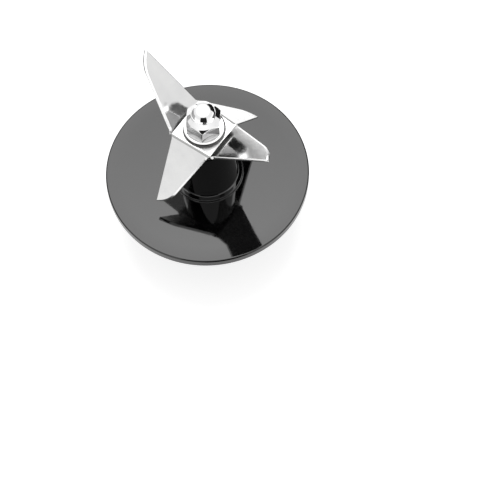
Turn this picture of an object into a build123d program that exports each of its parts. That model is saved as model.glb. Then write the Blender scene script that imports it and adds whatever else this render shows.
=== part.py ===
"""Blender blade assembly: a round base with a bearing hub, and a shaft that carries a four-arm blade.

The frame's origin is on the shaft axis, at the coupling's flat bottom. +Z runs up the shaft.
"""

import os
from math import cos, radians, sin, sqrt, tan

from build123d import *

os.makedirs("parts", exist_ok=True)

# Base disc, hub and underside, one moulding
disc_diameter = 80.0
disc_thickness = 3.2
disc_edge_radius = 0.6
rim_width = 6.5
rim_rise = 0.18
hub_step_diameter = 28.0
hub_step_height = 1.2
hub_step_radius = 0.4
hub_foot_diameter = 24.0
hub_foot_fillet = 1.5
hub_top_diameter = 20.0
hub_top_fillet = 1.0
hub_height = 26.4
boss_diameter = 24.0
boss_depth = 9.0
pilot_diameter = 57.0
pilot_wall = 2.5
pilot_depth = 4.0
rib_count = 6
rib_thickness = 2.0

# Shaft
shaft_diameter = 8.0
shaft_flats = 6.4
collar_diameter = 12.0
collar_thickness = 2.0
shaft_end_chamfer = 0.8
groove_depth = 0.6
groove_clearance = 0.05
nut_thread_length = 9.5
coupling_pull_up = 0.2

# Bearings, seal and lubrication
bush_diameter = 14.0
bush_length = 9.0
felt_diameter = 12.0
seal_diameter = 16.0
seal_height = 4.8
seal_recess = 0.2
seal_wall = 1.2
seal_web = 1.5
seal_lip_thickness = 1.5
seal_lip_height = 4.4
seal_lip_flare = 0.5
garter_wire_radius = 0.45
garter_bite = 0.15
garter_height = 3.2
washer_diameter = 13.0
washer_thickness = 0.8
ring_diameter = 12.8
ring_thickness = 1.0
ring_wall = 1.4
ring_mouth = 5.6
ring_lug_width = 2.4
retainer_diameter = 23.0
retainer_thickness = 1.2
retainer_screw_circle_diameter = 18.4
retainer_screw_count = 3
retainer_screw_diameter = 2.2
retainer_screw_length = 7.0
retainer_screw_head_diameter = 3.6
retainer_screw_head_height = 1.3
retainer_screw_head_radius = 0.4
retainer_screw_slot = 0.6

# Clearances
running_clearance = 0.03
lip_clearance = 0.05
free_clearance = 0.3
end_play = 0.2
collar_to_seal = 0.8
ring_to_coupling = 0.8
retainer_hole_clearance = 0.6

# Blade: one sheet, its arms bent along the sides of a square
blade_thickness = 1.3
bend_offset = 8.9
bend_inner_radius = 0.5
bend_relief = 0.08
corner_overlap = 0.5
arm_length = 30.0
arm_flare = 1.2
arm_trail_width = 8.4
arm_lead_width = 8.0
arm_straight = 22.5
arm_straight_offset = 0.7
arm_tip_setback = 6.0
bevel_width = 0.85
bevel_depth = 0.6
arm_angles = (50.0, 141.0, 231.0, 321.0)
bend_angles = (-51.5, 46.0, -57.0, 36.2)
skew_angles = (4.5, 0.0, 0.0, 0.0)

# Blade fixing
slinger_diameter = 15.0
slinger_height = 2.5
slinger_taper = 2.0
slinger_gap = 0.1
seat_diameter = 15.0
seat_thickness = 2.2
nut_washer_diameter = 16.4
nut_washer_thickness = 2.0
nut_washer_edge = 0.2
nut_across_flats = 12.7
nut_corner_height = 5.9
nut_flat_height = 7.3
nut_shoulder_height = 8.9
nut_height = 13.9
nut_dome_diameter = 9.6
nut_hole_spare = 0.8
nut_turn_angle = 22.0

# Drive coupling
coupling_height = 10.0
coupling_flange_diameter = 26.0
coupling_flange_thickness = 2.0
coupling_root_diameter = 17.0
coupling_tooth_count = 6
coupling_tooth_width = 4.4
coupling_tooth_diameter = 23.4
coupling_tooth_chamfer = 0.8
coupling_pocket_diameter = 11.0
coupling_pocket_depth = 4.2
coupling_washer_diameter = 9.6
coupling_washer_thickness = 0.8
coupling_screw_diameter = 4.0
coupling_screw_length = 9.0
coupling_screw_head_diameter = 7.0
coupling_screw_head_height = 2.4
coupling_screw_head_radius = 0.8
coupling_screw_slot = 1.0
screw_slot_depth = 0.6

# Radii that several pieces share
shaft_radius = shaft_diameter / 2
bush_radius = bush_diameter / 2
bush_bore = shaft_radius + running_clearance
free_bore = shaft_radius + free_clearance

# Heights, from the coupling's bottom up
ring_bottom = coupling_height + ring_to_coupling
thrust_bottom = ring_bottom + ring_thickness
friction_bottom = thrust_bottom + washer_thickness
retainer_bottom = friction_bottom + washer_thickness + end_play
boss_bottom = retainer_bottom + retainer_thickness
disc_bottom = boss_bottom + boss_depth
disc_top = disc_bottom + disc_thickness
step_top = disc_top + hub_step_height
hub_top = disc_top + hub_height
seal_bottom = hub_top - seal_recess - seal_height
collar_bottom = seal_bottom - collar_to_seal - collar_thickness
upper_washer_bottom = collar_bottom - end_play - washer_thickness
upper_bush_bottom = upper_washer_bottom - bush_length
lower_bush_top = boss_bottom + bush_length
slinger_bottom = hub_top + free_clearance
seat_bottom = slinger_bottom + slinger_height + slinger_gap
blade_bottom = seat_bottom + seat_thickness
blade_top = blade_bottom + blade_thickness
nut_bottom = blade_top + nut_washer_thickness
shaft_top = nut_bottom + nut_thread_length
shaft_bottom = coupling_pocket_depth + coupling_pull_up


def save(piece, label):
    """Name a finished piece and write it to its own file."""
    piece.label = label
    export_step(piece, f"parts/{label}.step")


def circles_at(builder, height):
    """The circular edges at a height, in groups of one radius, the smallest first."""
    near = 0.001
    circles = builder.edges().filter_by(GeomType.CIRCLE)
    return circles.filter_by_position(Axis.Z, height - near, height + near).group_by(SortBy.RADIUS)


def flat_ring(bottom, outer_radius, inner_radius, thickness, edge=0.0):
    """A plain ring about the shaft axis, its outer edges broken by edge."""
    with BuildPart() as ring:
        with BuildSketch(Plane.XY.offset(bottom)):
            Circle(outer_radius)
            Circle(inner_radius, mode=Mode.SUBTRACT)
        extrude(amount=thickness)
        if edge:
            fillet(circles_at(ring, bottom)[-1] + circles_at(ring, bottom + thickness)[-1], edge)
    return ring.part


def keyed_hole():
    """The shaft's section at its flats: a circle with two flat sides."""
    with BuildSketch() as section:
        Circle(shaft_radius)
        Rectangle(shaft_diameter, shaft_flats, mode=Mode.INTERSECT)
    return section.sketch


# Base disc: disc, step, tapering hub and bearing boss turned about the shaft axis, with a pilot ring and
# ribs under the disc. The disc's rim turns up a little, and its side is upright.
rim_top = disc_top + rim_rise
with BuildPart() as base_disc:
    with BuildSketch(Plane.XZ):
        with BuildLine():
            rim_curve = TangentArc(
                (disc_diameter / 2 - rim_width, disc_top),
                (disc_diameter / 2, rim_top),
                tangent=(1, 0),
            )
            Polyline(
                rim_curve @ 1,
                (disc_diameter / 2, disc_bottom),
                (boss_diameter / 2, disc_bottom),
                (boss_diameter / 2, boss_bottom),
                (bush_radius, boss_bottom),
                (bush_radius, lower_bush_top),
                (felt_diameter / 2, lower_bush_top),
                (felt_diameter / 2, upper_bush_bottom),
                (bush_radius, upper_bush_bottom),
                (bush_radius, seal_bottom),
                (seal_diameter / 2, seal_bottom),
                (seal_diameter / 2, hub_top),
                (hub_top_diameter / 2, hub_top),
                (hub_foot_diameter / 2, step_top),
                (hub_step_diameter / 2, step_top),
                (hub_step_diameter / 2, disc_top),
                rim_curve @ 0,
            )
        make_face()
    revolve(axis=Axis.Z)
    fillet(circles_at(base_disc, rim_top)[-1] + circles_at(base_disc, disc_bottom)[-1], disc_edge_radius)
    fillet(circles_at(base_disc, step_top)[0], hub_foot_fillet)
    fillet(circles_at(base_disc, step_top)[-1], hub_step_radius)
    fillet(circles_at(base_disc, hub_top)[-1], hub_top_fillet)
    with BuildSketch(Plane.XY.offset(disc_bottom)):
        Circle(pilot_diameter / 2)
        Circle(pilot_diameter / 2 - pilot_wall, mode=Mode.SUBTRACT)
        rib_inner = boss_diameter / 2 - pilot_wall
        rib_outer = pilot_diameter / 2 - pilot_wall / 2
        with PolarLocations((rib_inner + rib_outer) / 2, rib_count):
            Rectangle(rib_outer - rib_inner, rib_thickness)
    extrude(amount=-pilot_depth)
    with BuildSketch(Plane.XY.offset(boss_bottom)):
        with PolarLocations(retainer_screw_circle_diameter / 2, retainer_screw_count):
            Circle(retainer_screw_diameter / 2)
    extrude(amount=retainer_screw_length - retainer_thickness, mode=Mode.SUBTRACT)
save(base_disc.part, "base_disc")

# Bearings: two sintered sleeves, an oil felt between them and a bronze thrust washer on top.
save(flat_ring(upper_bush_bottom, bush_radius, bush_bore, bush_length), "upper_bush")
save(flat_ring(boss_bottom, bush_radius, bush_bore, bush_length), "lower_bush")
felt_length = upper_bush_bottom - lower_bush_top
save(flat_ring(lower_bush_top, felt_diameter / 2, free_bore, felt_length), "oil_felt")
save(flat_ring(upper_washer_bottom, washer_diameter / 2, free_bore, washer_thickness), "upper_thrust_washer")

# Shaft seal: a rubber cup whose lip leans on the shaft, with a garter spring behind the lip.
lip_radius = shaft_radius + lip_clearance
lip_back = lip_radius + seal_lip_thickness
garter_centre = lip_back + garter_wire_radius - garter_bite
with BuildPart() as shaft_seal:
    with BuildSketch(Plane.XZ):
        with BuildLine():
            Polyline(
                (lip_radius + seal_lip_flare, seal_bottom),
                (seal_diameter / 2, seal_bottom),
                (seal_diameter / 2, seal_bottom + seal_height),
                (seal_diameter / 2 - seal_wall, seal_bottom + seal_height),
                (seal_diameter / 2 - seal_wall, seal_bottom + seal_web),
                (lip_back, seal_bottom + seal_web),
                (lip_back, seal_bottom + seal_lip_height),
                (lip_radius + seal_lip_flare, seal_bottom + seal_lip_height),
                (lip_radius, seal_bottom + garter_height),
                close=True,
            )
        make_face()
    revolve(axis=Axis.Z)
save(shaft_seal.part, "shaft_seal")

with BuildPart() as seal_spring:
    with Locations((0, 0, seal_bottom + garter_height)):
        Torus(garter_centre, garter_wire_radius)
save(seal_spring.part, "seal_spring")

# Bearing retainer: a steel plate under the boss, with three pan-head screws.
with BuildPart() as bearing_retainer:
    with BuildSketch(Plane.XY.offset(retainer_bottom)):
        Circle(retainer_diameter / 2)
        Circle(shaft_radius + retainer_hole_clearance, mode=Mode.SUBTRACT)
        with PolarLocations(retainer_screw_circle_diameter / 2, retainer_screw_count):
            Circle(retainer_screw_diameter / 2, mode=Mode.SUBTRACT)
    extrude(amount=retainer_thickness)
save(bearing_retainer.part, "bearing_retainer")

with BuildPart() as retainer_screws:
    with BuildSketch(Plane.XY.offset(retainer_bottom)):
        with PolarLocations(retainer_screw_circle_diameter / 2, retainer_screw_count):
            Circle(retainer_screw_head_diameter / 2)
    extrude(amount=-retainer_screw_head_height)
    head_rims = retainer_screws.edges().filter_by(GeomType.CIRCLE).group_by(Axis.Z)[0]
    fillet(head_rims, retainer_screw_head_radius)
    with BuildSketch(Plane.XY.offset(retainer_bottom)):
        with PolarLocations(retainer_screw_circle_diameter / 2, retainer_screw_count):
            Circle(retainer_screw_diameter / 2)
    extrude(amount=retainer_screw_length)
    with BuildSketch(Plane.XY.offset(retainer_bottom - retainer_screw_head_height)):
        with PolarLocations(retainer_screw_circle_diameter / 2, retainer_screw_count):
            Rectangle(retainer_screw_head_diameter, retainer_screw_slot)
    extrude(amount=screw_slot_depth, mode=Mode.SUBTRACT)
save(retainer_screws.part, "retainer_screws")

# Drive shaft: turned bar with a thrust collar, a ring groove, flats at both ends and a tapped lower end.
with BuildPart() as drive_shaft:
    with BuildSketch(Plane.XY.offset(shaft_bottom)):
        Circle(shaft_radius)
    extrude(amount=shaft_top - shaft_bottom)
    chamfer(drive_shaft.edges().group_by(Axis.Z)[-1], shaft_end_chamfer)
    with BuildSketch(Plane.XY.offset(collar_bottom)):
        Circle(collar_diameter / 2)
    extrude(amount=collar_thickness)
    with BuildSketch(Plane.XY.offset(ring_bottom - groove_clearance)):
        Circle(shaft_radius)
        Circle(shaft_radius - groove_depth, mode=Mode.SUBTRACT)
    extrude(amount=ring_thickness + 2 * groove_clearance, mode=Mode.SUBTRACT)
    with BuildSketch(Plane.XY.offset(seat_bottom)):
        Circle(shaft_diameter)
        Rectangle(2 * shaft_diameter, shaft_flats, mode=Mode.SUBTRACT)
    extrude(amount=shaft_top - seat_bottom, mode=Mode.SUBTRACT)
    with BuildSketch(Plane.XY.offset(coupling_height)):
        Circle(shaft_diameter)
        Rectangle(2 * shaft_diameter, shaft_flats, mode=Mode.SUBTRACT)
    extrude(amount=shaft_bottom - coupling_height, mode=Mode.SUBTRACT)
    with BuildSketch(Plane.XY.offset(coupling_pocket_depth)):
        Circle(coupling_screw_diameter / 2)
    extrude(amount=coupling_screw_length, mode=Mode.SUBTRACT)
save(drive_shaft.part, "drive_shaft")

# Axial stop under the retainer: fibre washer, steel washer and an E-clip in the shaft's groove.
save(flat_ring(friction_bottom, washer_diameter / 2, shaft_radius, washer_thickness), "friction_washer")
save(flat_ring(thrust_bottom, washer_diameter / 2, shaft_radius, washer_thickness), "thrust_washer")

with BuildPart() as retaining_ring:
    with BuildSketch(Plane.XY.offset(ring_bottom)):
        Circle(ring_diameter / 2)
        Circle(ring_diameter / 2 - ring_wall, mode=Mode.SUBTRACT)
        with PolarLocations(ring_diameter / 4, 3, start_angle=0, angular_range=270, rotate=True):
            Rectangle(ring_diameter / 2 - ring_wall / 2, ring_lug_width)
        Circle(shaft_radius - groove_depth, mode=Mode.SUBTRACT)
        with Locations((0, -ring_diameter / 2)):
            Rectangle(ring_mouth, ring_diameter, mode=Mode.SUBTRACT)
    extrude(amount=ring_thickness)
save(retaining_ring.part, "retaining_ring")

# Water slinger: a rubber ring on the shaft that throws liquid off the seal.
with BuildPart() as water_slinger:
    with BuildSketch(Plane.XZ):
        with BuildLine():
            Polyline(
                (shaft_radius, slinger_bottom),
                (slinger_diameter / 2, slinger_bottom),
                (slinger_diameter / 2 - slinger_taper, slinger_bottom + slinger_height),
                (shaft_radius, slinger_bottom + slinger_height),
                close=True,
            )
        make_face()
    revolve(axis=Axis.Z)
save(water_slinger.part, "water_slinger")

# Blade seat: a keyed washer on the shoulder where the shaft's flats begin.
with BuildPart() as blade_seat:
    with BuildSketch(Plane.XY.offset(seat_bottom)):
        Circle(seat_diameter / 2)
        add(keyed_hole(), mode=Mode.SUBTRACT)
    extrude(amount=seat_thickness)
save(blade_seat.part, "blade_seat")


# Blade: beside each bend the plate stays flat out to where the steepest bend begins.
bend_outer_radius = bend_inner_radius + blade_thickness
steepest_bend = max(abs(angle) for angle in bend_angles)
root_half_width = bend_offset - bend_outer_radius * tan(radians(steepest_bend / 2)) - bend_relief


def blade_arm(bend, skew):
    """One arm with its quarter of the plate, along +X, the plate's top at z = 0.

    The side view is a sheet bent by the given angle. The flat outline, drawn on the arm's own plane and
    turned about the unfolded shaft axis by the skew of its bend line, then trims it, and the leading
    edge is ground on top.
    """
    top_radius = bend_inner_radius if bend > 0 else bend_outer_radius
    under_radius = bend_outer_radius if bend > 0 else bend_inner_radius
    bend_start = bend_offset - top_radius * tan(radians(abs(bend) / 2))
    along = Vector(cos(radians(bend)), sin(radians(bend)))
    down = Vector(sin(radians(bend)), -cos(radians(bend))) * blade_thickness
    top_end = Vector(bend_offset, 0) + along * (arm_length + blade_thickness)
    arm_plane = Plane(
        origin=(bend_offset, 0, 0),
        x_dir=(along.X, 0, along.Y),
        z_dir=(-along.Y, 0, along.X),
    )
    skewed_axis = Location((-bend_offset, 0, 0), (0, 0, skew))
    outline_plane = Plane(arm_plane.location * skewed_axis * Location((bend_offset, 0, 0)))
    with BuildPart() as arm:
        with BuildSketch(Plane.XZ):
            with BuildLine():
                top_flat = Line((0, 0), (bend_start, 0))
                top_curve = JernArc(top_flat @ 1, (1, 0), top_radius, bend)
                under_flat = Line((0, -blade_thickness), (bend_start, -blade_thickness))
                under_curve = JernArc(under_flat @ 1, (1, 0), under_radius, bend)
                Polyline(top_curve @ 1, top_end, top_end + down, under_curve @ 1)
                Line(top_flat @ 0, under_flat @ 0)
            make_face()
        extrude(amount=arm_trail_width + arm_lead_width, both=True)
        with BuildSketch(outline_plane):
            with BuildLine():
                lead = Line((arm_flare, arm_lead_width), (arm_straight, arm_straight_offset))
                tip_curve = TangentArc(lead @ 1, (arm_length, -arm_tip_setback), tangent=lead % 1)
                Polyline(
                    lead @ 0,
                    (0, root_half_width),
                    (-bend_offset, root_half_width),
                    (-bend_offset, -root_half_width),
                    (0, -root_half_width),
                    (arm_flare, -arm_trail_width),
                    (arm_length, -arm_tip_setback),
                )
            make_face()
        extrude(amount=arm_length, both=True, mode=Mode.INTERSECT)
        ground_edge = outline_plane.from_local_coords(Wire([lead, tip_curve]))
        with BuildSketch(Plane(origin=ground_edge @ 0, x_dir=arm_plane.z_dir, z_dir=ground_edge % 0)):
            with BuildLine():
                Polyline(
                    (bevel_depth, 2 * bevel_width),
                    (-2 * bevel_depth, -bevel_width),
                    (bevel_depth, -bevel_width),
                    close=True,
                )
            make_face()
        sweep(path=ground_edge, mode=Mode.SUBTRACT)
    return arm.part


# Four arms share one flat outline, two bent up and two bent down. The plate's corners fill the gaps
# between them, as far as the bend lines.
arms = [blade_arm(bend, skew) for bend, skew in zip(bend_angles, skew_angles)]
corner_start = root_half_width - corner_overlap
corner_side = bend_offset - corner_start
corner_centre = sqrt(2) * (corner_start + corner_side / 2)
with BuildPart() as blade:
    for arm, angle, skew in zip(arms, arm_angles, skew_angles):
        with Locations(Location((0, 0, blade_top), (0, 0, angle - skew))):
            add(arm)
    with BuildSketch(Plane.XY.offset(blade_bottom)):
        with PolarLocations(corner_centre, len(arm_angles), start_angle=arm_angles[-1] + 45):
            Rectangle(corner_side, corner_side, rotation=45)
    extrude(amount=blade_thickness)
    with BuildSketch(Plane.XY.offset(blade_bottom)):
        add(keyed_hole())
    extrude(amount=blade_thickness, mode=Mode.SUBTRACT)
save(blade.part, "blade")

# Thick plain washer and dome nut on the shaft's threaded end.
save(
    flat_ring(blade_top, nut_washer_diameter / 2, shaft_radius, nut_washer_thickness, nut_washer_edge),
    "nut_washer",
)

nut_corner_radius = nut_across_flats / 2 / cos(radians(30))
dome_spring = nut_bottom + nut_height - nut_dome_diameter / 2
with BuildPart() as cap_nut:
    with BuildSketch(Plane.XY.offset(nut_bottom)):
        RegularPolygon(nut_across_flats / 2, 6, major_radius=False, rotation=nut_turn_angle)
    extrude(amount=nut_height)
    with BuildSketch(Plane.XZ):
        with BuildLine():
            dome = CenterArc((0, dome_spring), nut_dome_diameter / 2, 0, 90)
            Polyline(
                dome @ 1,
                (0, nut_bottom),
                (nut_corner_radius, nut_bottom),
                (nut_corner_radius, nut_bottom + nut_corner_height),
                (nut_across_flats / 2, nut_bottom + nut_flat_height),
                (nut_dome_diameter / 2, nut_bottom + nut_shoulder_height),
                dome @ 0,
            )
        make_face()
    revolve(axis=Axis.Z, mode=Mode.INTERSECT)
    with BuildSketch(Plane.XY.offset(nut_bottom)):
        Circle(shaft_radius)
    extrude(amount=nut_thread_length + nut_hole_spare, mode=Mode.SUBTRACT)
save(cap_nut.part, "cap_nut")

# Drive coupling: a toothed driver with a flange on top, on the shaft's lower flats.
with BuildPart() as drive_coupling:
    with BuildSketch():
        Circle(coupling_root_diameter / 2)
        with PolarLocations(coupling_tooth_diameter / 4, coupling_tooth_count):
            Rectangle(coupling_tooth_diameter / 2, coupling_tooth_width)
        Circle(coupling_tooth_diameter / 2, mode=Mode.INTERSECT)
    extrude(amount=coupling_height - coupling_flange_thickness)
    chamfer(drive_coupling.edges().group_by(Axis.Z)[0], coupling_tooth_chamfer)
    with BuildSketch(Plane.XY.offset(coupling_height - coupling_flange_thickness)):
        Circle(coupling_flange_diameter / 2)
    extrude(amount=coupling_flange_thickness)
    with BuildSketch():
        Circle(coupling_pocket_diameter / 2)
    extrude(amount=coupling_pocket_depth, mode=Mode.SUBTRACT)
    with BuildSketch(Plane.XY.offset(coupling_pocket_depth)):
        add(keyed_hole())
    extrude(amount=coupling_height - coupling_pocket_depth, mode=Mode.SUBTRACT)
save(drive_coupling.part, "drive_coupling")

# Coupling fixing: a washer and a pan-head screw from below, sunk in the coupling's pocket.
head_top = coupling_pocket_depth - coupling_washer_thickness
save(
    flat_ring(head_top, coupling_washer_diameter / 2, coupling_screw_diameter / 2, coupling_washer_thickness),
    "coupling_washer",
)

with BuildPart() as coupling_screw:
    with BuildSketch(Plane.XY.offset(head_top)):
        Circle(coupling_screw_head_diameter / 2)
    extrude(amount=-coupling_screw_head_height)
    fillet(coupling_screw.edges().group_by(Axis.Z)[0], coupling_screw_head_radius)
    with BuildSketch(Plane.XY.offset(head_top)):
        Circle(coupling_screw_diameter / 2)
    extrude(amount=coupling_washer_thickness + coupling_screw_length)
    with BuildSketch(Plane.XY.offset(head_top - coupling_screw_head_height)):
        Rectangle(coupling_screw_head_diameter, coupling_screw_slot)
    extrude(amount=screw_slot_depth, mode=Mode.SUBTRACT)
save(coupling_screw.part, "coupling_screw")
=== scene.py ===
"""Blender blade assembly: the black moulding with its bearings, and the shaft with the four-arm blade.

The part's lengths are written in millimetres times mm, and those of the floor, the cards and the light in
metres. The frame's origin is on the shaft axis, under the coupling.
"""

from math import cos, pi, radians, sin, sqrt, tan

import bmesh
import bpy
import numpy as np
from mathutils import Matrix, Vector


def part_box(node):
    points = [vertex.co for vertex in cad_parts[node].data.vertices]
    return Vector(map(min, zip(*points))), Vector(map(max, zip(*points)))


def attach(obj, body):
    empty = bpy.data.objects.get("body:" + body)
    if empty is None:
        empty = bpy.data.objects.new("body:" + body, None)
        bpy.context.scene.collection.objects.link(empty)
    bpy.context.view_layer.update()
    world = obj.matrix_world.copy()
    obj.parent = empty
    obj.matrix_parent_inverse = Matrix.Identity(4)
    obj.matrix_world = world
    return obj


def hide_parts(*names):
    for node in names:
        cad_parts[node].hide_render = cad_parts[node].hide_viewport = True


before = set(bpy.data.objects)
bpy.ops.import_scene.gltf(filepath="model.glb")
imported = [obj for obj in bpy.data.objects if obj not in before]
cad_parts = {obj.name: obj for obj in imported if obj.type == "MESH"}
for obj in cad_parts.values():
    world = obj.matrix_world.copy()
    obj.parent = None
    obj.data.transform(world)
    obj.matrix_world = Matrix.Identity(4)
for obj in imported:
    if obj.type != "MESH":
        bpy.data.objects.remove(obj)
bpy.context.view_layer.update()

# Base moulding: the round base, its step, the tapering hub and, underneath, the bearing boss, the pilot ring
# and the ribs. It is one injection moulding of black gloss plastic, polished like the mould that it left.
mm = 0.001
disc_radius = 40.0 * mm
disc_bottom = 23.8 * mm
disc_top = 27.0 * mm
disc_edge_radius = 0.6 * mm
rim_width = 6.5 * mm
rim_rise = 0.18 * mm
rim_points = 14
step_radius = 14.0 * mm
step_top = 28.2 * mm
step_edge_radius = 0.2 * mm
hub_foot_radius = 12.0 * mm
hub_foot_fillet = 0.5 * mm
hub_top_radius = 10.0 * mm
hub_top_fillet = 1.0 * mm
hub_top = 53.4 * mm
boss_radius = 12.0 * mm
boss_bottom = 14.8 * mm
pilot_radius = 28.5 * mm
pilot_wall = 2.5 * mm
pilot_depth = 4.0 * mm
moulded_edge = 0.2 * mm
edge_middle = 0.3
arc_steps = 7
arc_guard = 0.15 * mm
weld_distance = 0.002 * mm
seal_pocket_radius = 8.0 * mm
seal_pocket_bottom = 48.4 * mm
bush_pocket_radius = 7.0 * mm
upper_bush_bottom = 35.6 * mm
felt_pocket_radius = 6.0 * mm
rib_count = 6
rib_thickness = 2.0 * mm
rib_rows = 4
rib_sink = 0.8 * moulded_edge
disc_turns = 240


def rounded_profile(corners):
    """Points along straight runs from corner to corner. Each corner (r, z, radius) with a radius becomes an
    arc that is tangent to both runs, with a guard point at each end that keeps the flat next to it flat."""
    spots = np.array([corner[:2] for corner in corners])
    points = []
    for k, (spot, radius) in enumerate(zip(spots, [corner[2] for corner in corners])):
        if radius == 0.0:
            points.append(spot[None])
            continue
        before = spot - spots[k - 1]
        after = spots[(k + 1) % len(spots)] - spot
        before = before / np.hypot(*before)
        after = after / np.hypot(*after)
        turn = np.arctan2(before[0] * after[1] - before[1] * after[0], before @ after)
        run_up = radius * tan(abs(turn) / 2)
        side = np.sign(turn) * np.array([-before[1], before[0]])
        centre = spot - before * run_up + side * radius
        angles = np.linspace(0.0, turn, arc_steps)[:, None]
        spoke = -side * radius
        crosswise = np.array([-spoke[1], spoke[0]])
        arc = centre + spoke * np.cos(angles) + crosswise * np.sin(angles)
        points.append(np.vstack([arc[0] - before * arc_guard, arc, arc[-1] + after * arc_guard]))
    return np.vstack(points)


def turned_sheet(profile, turns):
    """A profile of points (r, z) carried round the shaft axis: x = r cos a, y = r sin a, z = z."""
    angles = np.linspace(0.0, 2 * pi, turns + 1)
    radius, height = profile[:, :1], profile[:, 1:]
    return np.stack([radius * np.cos(angles), radius * np.sin(angles), height + 0 * angles], axis=-1)


def closed(profile):
    """The profile with its first point again at its end."""
    return np.vstack([profile, profile[:1]])


def make_piece(name, sheets, sharp_angle=38.0, slots=None):
    """One closed piece from sheets, each a grid of points whose neighbours are joined by four-sided faces.
    Points that fall on each other become one, so that the sheets meet. Slots gives each sheet's finish."""
    points, faces, finish_numbers = [], [], []
    start = 0
    for k, sheet in enumerate(sheets):
        rows, columns = sheet.shape[:2]
        number = start + np.arange(rows * columns).reshape(rows, columns)
        quads = np.stack([number[:-1, :-1], number[:-1, 1:], number[1:, 1:], number[1:, :-1]], axis=-1)
        points.append(sheet.reshape(-1, 3))
        faces.append(quads.reshape(-1, 4))
        finish_numbers.append(np.full(len(faces[-1]), slots[k] if slots else 0))
        start += rows * columns
    mesh = bpy.data.meshes.new(name)
    mesh.from_pydata(np.concatenate(points).tolist(), [], np.concatenate(faces).tolist())
    mesh.polygons.foreach_set("material_index", np.concatenate(finish_numbers).astype(np.int32))
    shell = bmesh.new()
    shell.from_mesh(mesh)
    bmesh.ops.remove_doubles(shell, verts=shell.verts, dist=weld_distance)
    bmesh.ops.recalc_face_normals(shell, faces=shell.faces)
    shell.to_mesh(mesh)
    shell.free()
    mesh.shade_smooth()
    mesh.set_sharp_from_angle(angle=radians(sharp_angle))
    piece = bpy.data.objects.new(name, mesh)
    bpy.context.scene.collection.objects.link(piece)
    return piece


def new_finish(name, **sockets):
    """A finish with one surface shader. Values that are the same all over are set on its own sockets."""
    finish = bpy.data.materials.new(name)
    finish.use_nodes = True
    shader = finish.node_tree.nodes["Principled BSDF"]
    for socket, value in sockets.items():
        shader.inputs[socket.replace("_", " ")].default_value = value
    return finish


def noise(finish, cell, stretch=(1.0, 1.0, 1.0), detail=2.0, roughness=0.5):
    """A cloudy pattern on the piece's own coordinates, with cells of one size, drawn out along the axes."""
    nodes, links = finish.node_tree.nodes, finish.node_tree.links
    place = nodes.new("ShaderNodeTexCoord")
    mapping = nodes.new("ShaderNodeMapping")
    mapping.inputs["Scale"].default_value = [1.0 / (cell * pull) for pull in stretch]
    cloud = nodes.new("ShaderNodeTexNoise")
    cloud.inputs["Scale"].default_value = 1.0
    cloud.inputs["Detail"].default_value = detail
    cloud.inputs["Roughness"].default_value = roughness
    links.new(place.outputs["Object"], mapping.inputs["Vector"])
    links.new(mapping.outputs["Vector"], cloud.inputs["Vector"])
    return cloud.outputs[0]


def spread(finish, pattern, socket, low, high, start=0.3, end=0.7):
    """The socket goes from low to high where the pattern goes from start to end."""
    nodes, links = finish.node_tree.nodes, finish.node_tree.links
    span = nodes.new("ShaderNodeMapRange")
    span.inputs["From Min"].default_value = start
    span.inputs["From Max"].default_value = end
    span.inputs["To Min"].default_value = low
    span.inputs["To Max"].default_value = high
    links.new(pattern, span.inputs["Value"])
    links.new(span.outputs["Result"], nodes["Principled BSDF"].inputs[socket])


def two_tone(finish, pattern, first, second, start=0.3, end=0.7):
    """The colour goes from the first to the second where the pattern goes from start to end."""
    nodes, links = finish.node_tree.nodes, finish.node_tree.links
    ramp = nodes.new("ShaderNodeValToRGB")
    ramp.color_ramp.elements[0].position = start
    ramp.color_ramp.elements[0].color = (*first, 1.0)
    ramp.color_ramp.elements[1].position = end
    ramp.color_ramp.elements[1].color = (*second, 1.0)
    links.new(pattern, ramp.inputs["Fac"])
    links.new(ramp.outputs["Color"], nodes["Principled BSDF"].inputs["Base Color"])


def relief(finish, pattern, height):
    """The pattern raises the surface by up to a height, on top of any relief that is there already."""
    nodes, links = finish.node_tree.nodes, finish.node_tree.links
    normal = nodes["Principled BSDF"].inputs["Normal"]
    bump = nodes.new("ShaderNodeBump")
    bump.inputs["Distance"].default_value = height
    if normal.is_linked:
        links.new(normal.links[0].from_socket, bump.inputs["Normal"])
    links.new(pattern, bump.inputs["Height"])
    links.new(bump.outputs["Normal"], normal)


def rib_sheet(angle, inner, outer):
    """A rounded U-shaped section carried outwards along a radius, and turned to its angle."""
    half, lip = rib_thickness / 2, moulded_edge
    low = disc_bottom - pilot_depth
    side_across = np.array([half, half, half - edge_middle * lip, half - lip])
    side_height = np.array([disc_bottom, low + lip, low + edge_middle * lip, low])
    across = np.concatenate([-side_across, side_across[::-1]])
    height = np.concatenate([side_height, side_height[::-1]])
    reach = np.linspace(inner, outer, rib_rows)[:, None]
    return np.stack(
        [
            reach * cos(angle) - across * sin(angle),
            reach * sin(angle) + across * cos(angle),
            height + 0 * reach,
        ],
        axis=-1,
    )


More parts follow.
